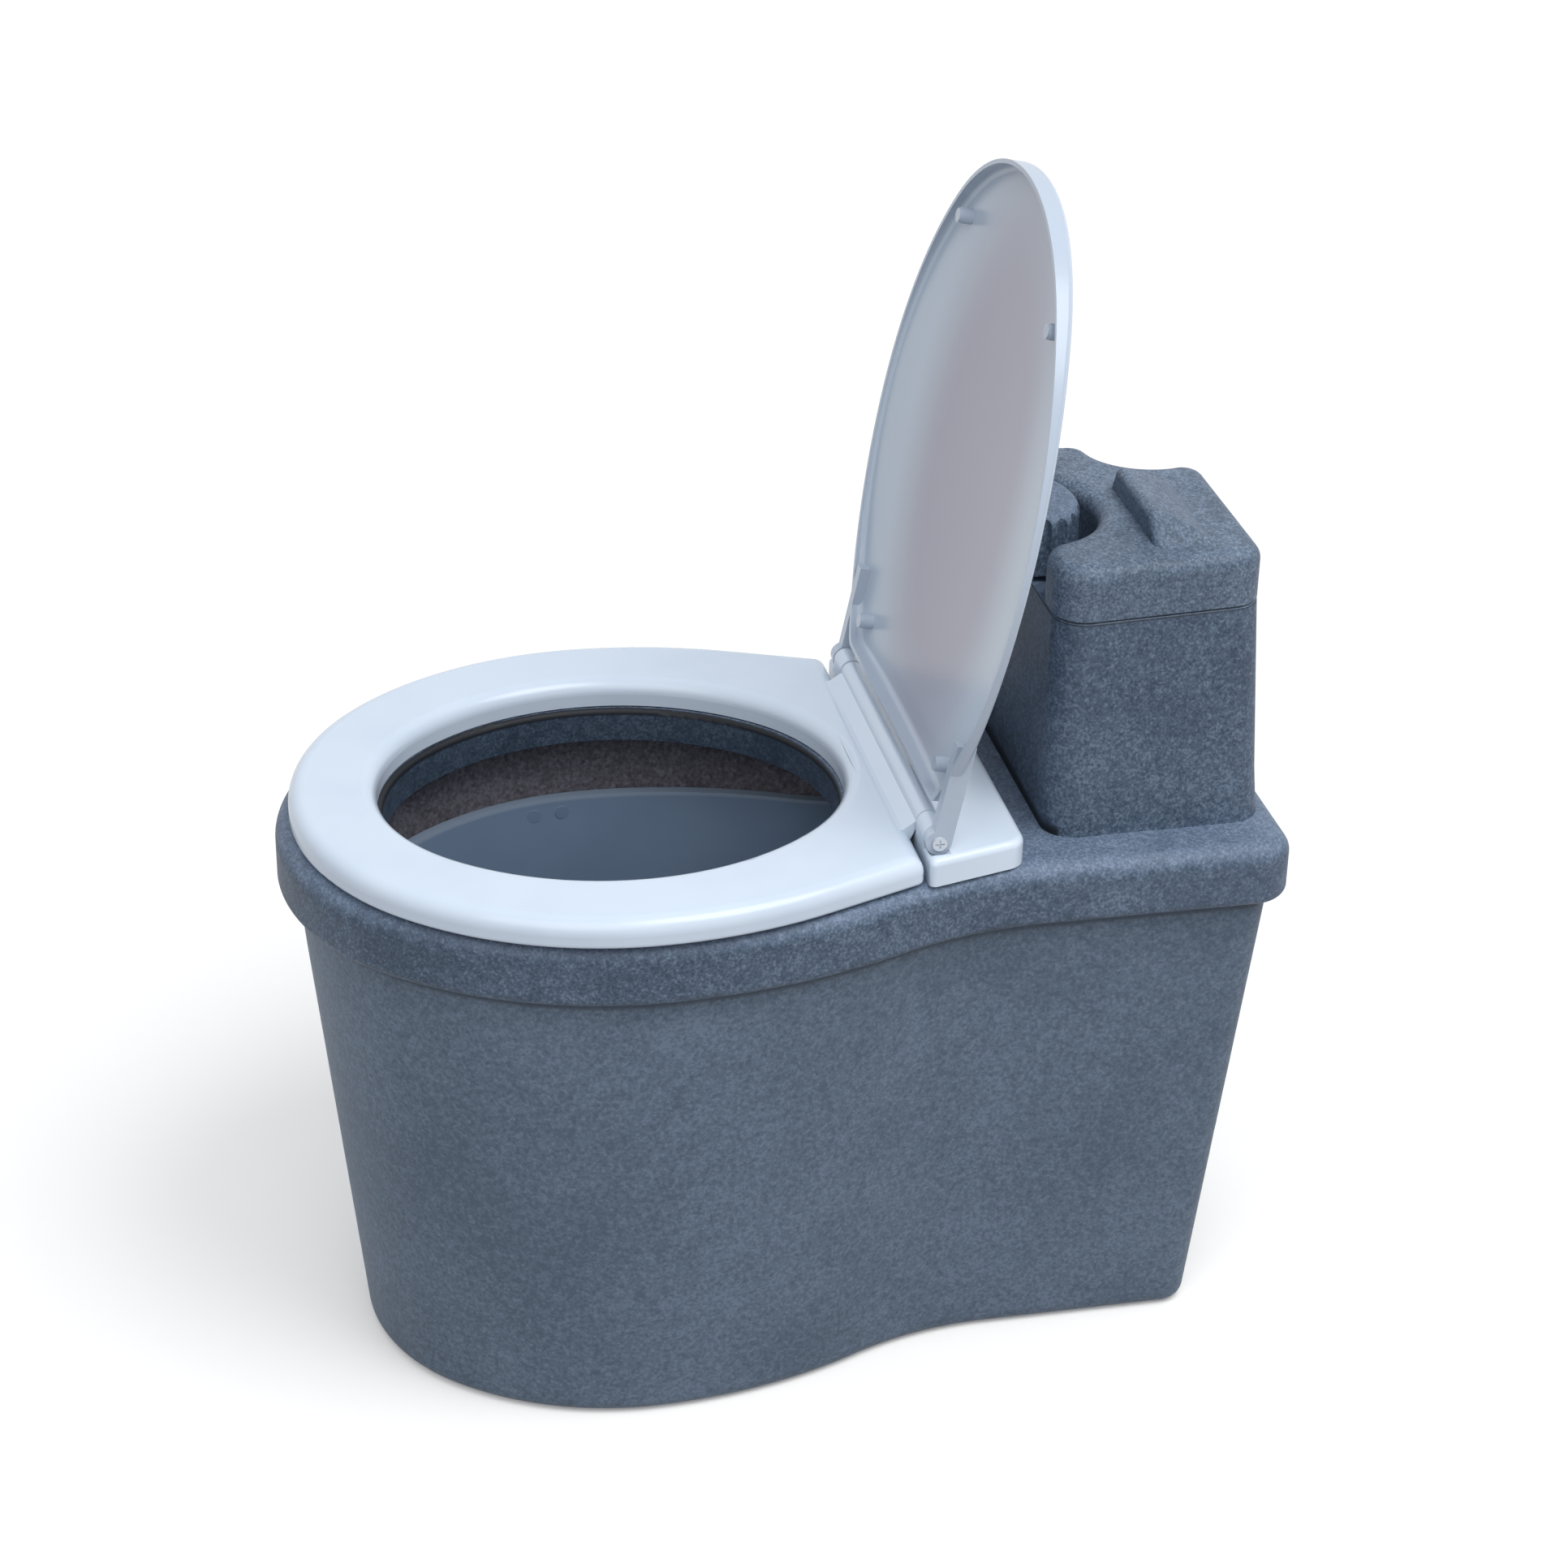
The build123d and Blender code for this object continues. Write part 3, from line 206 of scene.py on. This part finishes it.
for lamp_name, (lamp_place, lamp_size, lamp_power) in lamps.items():
    lamp_data = bpy.data.lights.new(lamp_name, "AREA")
    lamp_data.shape = "DISK"
    lamp_data.size = lamp_size
    lamp_data.energy = lamp_power
    lamp_data.color = lamp_colour
    lamp = bpy.data.objects.new(lamp_name, lamp_data)
    bpy.context.scene.collection.objects.link(lamp)
    lamp.location = lamp_place
    lamp.rotation_euler = lamp_place.to_track_quat("Z", "Y").to_euler()

# Outer tub: the tapered shell that stands on the floor, rotomoulded in one piece from
# blue-grey polyethylene with dark and pale grains. Its inner wall is painted browner and paler,
# standing in for warm light reflected inside the tub, and a painted shadow line lies under the
# cover's lip where it comes down round it.
tub_dark = (0.065, 0.095, 0.136, 1)
tub_mid = (0.099, 0.137, 0.188, 1)
tub_pale = (0.147, 0.194, 0.257, 1)
tub_grain = 0.0028
painted_warm_dark = (0.103, 0.096, 0.113, 1)
painted_warm_mid = (0.170, 0.158, 0.186, 1)
painted_warm_pale = (0.255, 0.246, 0.283, 1)
lip_shadow_colour = (0.026, 0.036, 0.052, 1)
lip_foot = 0.364
lip_shadow_low = (lip_foot - 0.0095, lip_foot - 0.0055)
lip_shadow_high = (lip_foot + 0.006, lip_foot + 0.001)
lip_shadow_share = 0.75
cloud_size, drift_size = 0.0080, 0.0900
drift_seed, grain_seed = 4.1, 2.3
grain_weight, cloud_weight, drift_weight = 1.5, 0.6, 0.55
shade_offset = 0.825
pale_shades = (0.48, 0.78)
dark_shades = (0.52, 0.22)
granite_roughness, granite_roughening = 0.50, 0.12
granite_gloss = 0.35
granite_relief, granite_depth = 0.15, 0.0006
turned_in = (-0.01, -0.05)


def granite_shade(places, grain_size):
    """How dark or pale the plastic is at each place: grains, with softer clouds under them."""
    cloud = places.noise(cloud_size, detail=3.0, roughness=0.7)
    drift = places.noise(drift_size, seed=drift_seed)
    grain = places.noise(grain_size, roughness=0.65, seed=grain_seed)
    return grain * grain_weight + cloud * cloud_weight + drift * drift_weight - shade_offset


def granite_colour(shade, dark, mid, pale):
    darker = shade.clear(*dark_shades).between(mid, dark)
    return shade.clear(*pale_shades).between(darker, pale)


def granite(name, grain_size, dark, mid, pale):
    """Granite plastic: the material, its shader's inputs, places, shade and colour."""
    material, shader, places = material_called(name)
    shade = granite_shade(places, grain_size)
    colour = granite_colour(shade, dark, mid, pale)
    feed(shader["Roughness"], granite_roughness + shade * granite_roughening)
    feed(shader["Specular IOR Level"], granite_gloss)
    feed(shader["Normal"], shade.bump(granite_relief, granite_depth))
    return material, shader, places, shade, colour


def facing_in(places):
    """1 on faces that look towards the middle of the tub, and 0 on those that look out."""
    flat = places.node(
        "ShaderNodeVectorMath", {"operation": "MULTIPLY"}, Vector=places, Vector_=(1, 1, 0),
    )
    outwards = places.node(
        "ShaderNodeVectorMath", {"operation": "DOT_PRODUCT"},
        Vector=flat, Vector_=places.out("Normal"),
    )
    return outwards.out("Value").clear(*turned_in)


def dress(names, material):
    """Gives CAD nodes a material in place of the one they were loaded with."""
    for name in names:
        nodes[name].data.materials.clear()
        nodes[name].data.materials.append(material)
        for face in nodes[name].data.polygons:
            face.material_index = 0


granite_tub, shader, places, shade, colour = granite(
    "granite_tub", tub_grain, tub_dark, tub_mid, tub_pale,
)
# Inside faces take a painted warm, paler granite that stands in for light reflected inside the
# tub.
painted_warm_inside = granite_colour(shade, painted_warm_dark, painted_warm_mid, painted_warm_pale)
height = places.axis("Z")
# Painted shadow: a dark band on the tub just below and above the cover lip's foot.
painted_lip_shadow = height.clear(*lip_shadow_low) * height.clear(*lip_shadow_high) * lip_shadow_share
feed(shader["Base Color"], facing_in(places).between(painted_lip_shadow.between(colour, lip_shadow_colour), painted_warm_inside))
dress(["outer_tub"], granite_tub)

# Inner bucket with its grips and rivets: smooth slate-grey plastic with a soft sheen, with a
# beaded rim that is paler at its top. It stands loose in the tub on its ribs, and each grip is
# riveted to a side wall.
bucket_slate = (0.185, 0.256, 0.362, 1)
bucket_haze = (0.167, 0.236, 0.333, 1)
bucket_rim = (0.34, 0.41, 0.50, 1)
haze_size = 0.11
haze_spread = (0.4, 0.7)
bucket_roughness, bucket_roughening = 0.40, 0.08
rim_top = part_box("inner_bucket")[1][2]
rim_pale_band = (rim_top - 0.0035, rim_top - 0.0015)
rim_pale_share = 0.6
bucket_finish, shader, places = material_called("bucket_plastic")
haze = places.noise(haze_size, detail=3.0)
slate = haze.clear(*haze_spread).between(bucket_slate, bucket_haze)
# The top few millimetres of the bucket's rim are paler.
pale_rim_top = places.axis("Z").clear(*rim_pale_band) * rim_pale_share
feed(shader["Base Color"], pale_rim_top.between(slate, bucket_rim))
feed(shader["Roughness"], bucket_roughness + haze * bucket_roughening)
dress(["inner_bucket", "bucket_grips", "grip_rivets"], bucket_finish)

# Small black plastic parts, injection moulded with a fine grain: the slotted false floor that
# stands in the bucket, the drain's tail and nut, the wing nuts of the hinge plate, and for
# the litter the stirrer, the slotted outlet plate and the spreader wheel under it.
black_deep = (0.030, 0.031, 0.034, 1)
black_worn = (0.045, 0.046, 0.050, 1)
black_grain = 0.0033
black_relief, black_depth = 0.2, 0.0002


def clouded(name, size, first, second, roughness, roughening, spread=None, detail=2.0):
    """A finish that goes from one colour to another in clouds of one size, rougher in them."""
    material, shader, places = material_called(name)
    cloud = places.noise(size, detail=detail)
    share = cloud.clear(*spread) if spread else cloud
    feed(shader["Base Color"], share.between(first, second))
    feed(shader["Roughness"], roughness + cloud * roughening)
    return material, shader, cloud


black_finish, shader, grain = clouded(
    "black_plastic", black_grain, black_deep, black_worn, 0.42, 0.15,
)
feed(shader["Normal"], grain.bump(black_relief, black_depth))
dress([
    "false_floor", "outlet_plate", "stirrer", "spreader_wheel",
    "wing_nuts", "drain_tail", "drain_nut",
], black_finish)

# Fibre mat: coarse matted coconut fibre, brown and dull, cut to the bucket's plan and laid
# loose on the false floor.
fibre_dark = (0.12, 0.075, 0.04, 1)
fibre_pale = (0.28, 0.19, 0.11, 1)
strand_size = 0.0038
strand_spread = (0.4, 0.65)
fibre_roughness = 0.95
fibre_relief, fibre_depth = 0.7, 0.002
fibre_finish, shader, places = material_called("fibre")
strand = places.noise(strand_size, detail=6.0, roughness=0.7)
feed(shader["Base Color"], strand.clear(*strand_spread).between(fibre_dark, fibre_pale))
feed(shader["Roughness"], fibre_roughness)
feed(shader["Normal"], strand.bump(fibre_relief, fibre_depth))
dress(["fibre_mat"], fibre_finish)

# Rubber: the seal on the tub's top edge, the gaskets of vent and drain, and the four feet
# pressed into bosses under the seat ring. Black and dull, with a little dust.
rubber_black = (0.022, 0.022, 0.023, 1)
rubber_dust = (0.050, 0.050, 0.052, 1)
dust_size = 0.0045
rubber_finish = clouded(
    "rubber", dust_size, rubber_black, rubber_dust, 0.75, 0.15, spread=(0.5, 0.8), detail=3.0,
)[0]
dress(["tub_seal", "vent_gasket", "drain_gasket", "seat_bumpers"], rubber_finish)

# Top cover, moulded in one with collar and hopper, and feed knob: the same granite plastic as
# the tub, darker and with stronger contrast. Level faces and the rear of the rim are painted
# paler as painted light, the collar is painted darker as painted shade, and painted black
# shadow lies in the gaps under the seat and at the hopper's seam.
cover_dark = (0.032, 0.051, 0.082, 1)
cover_mid = (0.067, 0.097, 0.142, 1)
cover_pale = (0.142, 0.188, 0.254, 1)
cover_grain = 0.0019
painted_light_dark = (0.090, 0.124, 0.180, 1)
painted_light_mid = (0.132, 0.178, 0.252, 1)
painted_light_pale = (0.200, 0.255, 0.345, 1)
level_painted_light, rim_painted_light = 0.8, 0.30
level_enough, steep_enough = (0.15, 0.80), (0.85, 0.50)
rim_heights = (0.420, 0.395)
rear_of_rim = (0.10, 0.34)
collar_shade_dark = (0.020, 0.033, 0.055, 1)
collar_shade_mid = (0.034, 0.052, 0.080, 1)
collar_shade_pale = (0.068, 0.095, 0.135, 1)
collar_heights = (0.421, 0.412)
seat_gap_shadow_heights = (0.4045, 0.4065)
shadow_black = (0.006, 0.008, 0.012, 1)
hopper_seam = 0.571
body_seam_low = (hopper_seam - 0.0020, hopper_seam - 0.0010)
body_seam_high = (hopper_seam + 0.0010, hopper_seam + 0.0004)
seam_shadow_share = 0.85
granite_cover, shader, places, shade, colour = granite(
    "granite_cover", cover_grain, cover_dark, cover_mid, cover_pale,
)
height = places.axis("Z")
facing_up = places.out("Normal").axis("Z")
shaded_collar = facing_in(places) * height.clear(*collar_heights)
# Painted light: a paler granite laid on level faces and on the rear of the rim.
painted_light = granite_colour(shade, painted_light_dark, painted_light_mid, painted_light_pale)
colour = (facing_up.clear(*level_enough) * level_painted_light).between(colour, painted_light)
rearward = places.axis("Y").clear(*rear_of_rim)
colour = (height.clear(*rim_heights) * rearward * rim_painted_light).between(colour, painted_light)
# Painted shade: the collar's inner wall takes a darker granite.
colour = shaded_collar.between(colour, granite_colour(shade, collar_shade_dark, collar_shade_mid, collar_shade_pale))
# Painted shadow: near-black bands at the hopper's seam and at the collar's top under the seat.
seam_shadow = height.clear(*body_seam_low) * height.clear(*body_seam_high) * seam_shadow_share
seam_shadow = seam_shadow * facing_up.clear(*steep_enough)
gap_shadow = seam_shadow.larger(shaded_collar * height.clear(*seat_gap_shadow_heights))
feed(shader["Base Color"], gap_shadow.between(colour, shadow_black))
dress(["top_cover", "feed_knob"], granite_cover)

# Hopper lid: a deep hollow cap of the same plastic, paler, with a skirt that drops into the
# hopper's opening. Its lower edge has a painted black shadow where it meets the hopper.
cap_dark = (0.052, 0.076, 0.110, 1)
cap_mid = (0.107, 0.144, 0.200, 1)
cap_pale = (0.193, 0.244, 0.315, 1)
cap_grain = 0.0018
cap_seam_low = (hopper_seam - 0.0004, hopper_seam)
cap_seam_high = (hopper_seam + 0.0020, hopper_seam + 0.0010)
granite_cap, shader, places, shade, colour = granite(
    "granite_cap", cap_grain, cap_dark, cap_mid, cap_pale,
)
height = places.axis("Z")
# Painted shadow: a near-black band at the lid's lower edge, in the seam.
seam_shadow = height.clear(*cap_seam_low) * height.clear(*cap_seam_high) * seam_shadow_share
feed(shader["Base Color"], seam_shadow.between(colour, shadow_black))
dress(["hopper_lid"], granite_cap)

# Steel: the feed shaft, the studs and washers of the hinge plate, and the screws of outlet,
# vent and shaft. Drawn or turned bright.
steel_bright = (0.56, 0.57, 0.59, 1)
steel_dull = (0.46, 0.47, 0.49, 1)
drawn_size = 0.0017
steel_finish, shader, drawn = clouded("steel", drawn_size, steel_bright, steel_dull, 0.24, 0.14)
feed(shader["Metallic"], 1.0)
dress([
    "feed_shaft", "plate_bolts", "bolt_washers",
    "outlet_screws", "vent_screws", "shaft_screw",
], steel_finish)

# Bushes: two pale flanged plastic rings, pressed into the hopper's shelf and the deck, that
# the feed shaft turns in.
bush_pale = (0.62, 0.61, 0.58, 1)
bush_smeared = (0.52, 0.51, 0.48, 1)
smear_size = 0.0080
bush_finish = clouded(
    "bush_plastic", smear_size, bush_pale, bush_smeared, 0.4, 0.1, spread=(0.5, 0.8), detail=3.0,
)[0]
dress(["shaft_bushes"], bush_finish)

# Vent spigot: a flanged tube of grey pipe plastic, scuffed, screwed to the deck in the hollow
# at the hopper's far rear corner.
pipe_grey = (0.17, 0.190, 0.215, 1)
pipe_scuffed = (0.21, 0.230, 0.255, 1)
scuff_size = 0.0170
pipe_finish = clouded(
    "pipe_plastic", scuff_size, pipe_grey, pipe_scuffed, 0.35, 0.15, spread=(0.5, 0.7), detail=4.0,
)[0]
dress(["vent_spigot"], pipe_finish)

# Seat ring and hinge plate: glossy white plastic with a cool cast, moulded hollow at the
# back, smooth but for a faint unevenness. It is painted paler towards the hinge, as painted light.
seat_white = (0.59, 0.665, 0.750, 1)
seat_shade = (0.56, 0.635, 0.725, 1)
seat_painted_light_white = (0.67, 0.75, 0.84, 1)
seat_painted_light_from = (0.00, 0.16)
wave_size = 0.07
wave_spread = (0.4, 0.7)
wave_relief, wave_depth = 0.06, 0.001
white_roughening = 0.06
seat_roughness = 0.18
seat_finish, shader, places = material_called("white_plastic")
wave = places.noise(wave_size)
colour = wave.clear(*wave_spread).between(seat_white, seat_shade)
# Painted light: the white grows paler towards the hinge at the rear.
feed(shader["Base Color"], places.axis("Y").clear(*seat_painted_light_from).between(colour, seat_painted_light_white))
feed(shader["Roughness"], seat_roughness + wave * white_roughening)
feed(shader["Normal"], wave.bump(wave_relief, wave_depth))
dress(["seat_ring", "hinge_plate"], seat_finish)

# Seat lid with its four pads: a thin dished moulding of the same white plastic. Its inner
# face is painted greyer as painted shade, with a painted mauve reflection in an oval about the
# middle, and its turned-down edge is painted greyer than its back as painted shade.
lid_inner_shade = (0.475, 0.55, 0.635, 1)
lid_painted_reflection = (0.34, 0.335, 0.405, 1)
lid_band_shade = (0.42, 0.48, 0.56, 1)
lid_back = (0.55, 0.62, 0.705, 1)
oval_scale = (1.0, 0.0, 0.60)
oval_middle = (0.010, 0.0, 0.383)
oval_reach = (0.155, 0.075)
looks_back, looks_ahead = (0.30, 0.80), (-0.35, -0.75)
lid_roughness = 0.22
lid_finish, shader, places = material_called("lid_plastic")
wave = places.noise(wave_size)
oval = places.node(
    "ShaderNodeVectorMath", {"operation": "MULTIPLY"}, Vector=places, Vector_=oval_scale,
)
from_middle = oval.node(
    "ShaderNodeVectorMath", {"operation": "DISTANCE"}, Vector=oval, Vector_=oval_middle,
).out("Value")
# Painted reflection: a mauve-grey oval in the middle of the inner face, on a greyer painted shade.
painted_inner_face = from_middle.clear(*oval_reach).between(lid_inner_shade, lid_painted_reflection)
facing_back = places.out("Normal").axis("Y")
# Painted shade: the turned-down edge is greyer than the back.
outside_with_shade = facing_back.clear(*looks_back).between(lid_band_shade, lid_back)
feed(shader["Base Color"], facing_back.clear(*looks_ahead).between(outside_with_shade, painted_inner_face))
feed(shader["Roughness"], lid_roughness + wave * white_roughening)
feed(shader["Normal"], wave.bump(wave_relief, wave_depth))
dress(["seat_lid", "lid_bumpers"], lid_finish)

# Hinge pins: two of stainless steel with pale polished heads, driven through the lid's lugs,
# the plate's ears and the seat's barrel.
pin_bright = (0.62, 0.67, 0.73, 1)
pin_dull = (0.54, 0.59, 0.65, 1)
polish_size = 0.004
pin_finish, shader, polish = clouded("pin_steel", polish_size, pin_bright, pin_dull, 0.28, 0.1)
feed(shader["Metallic"], 0.3)
dress(["hinge_pins"], pin_finish)
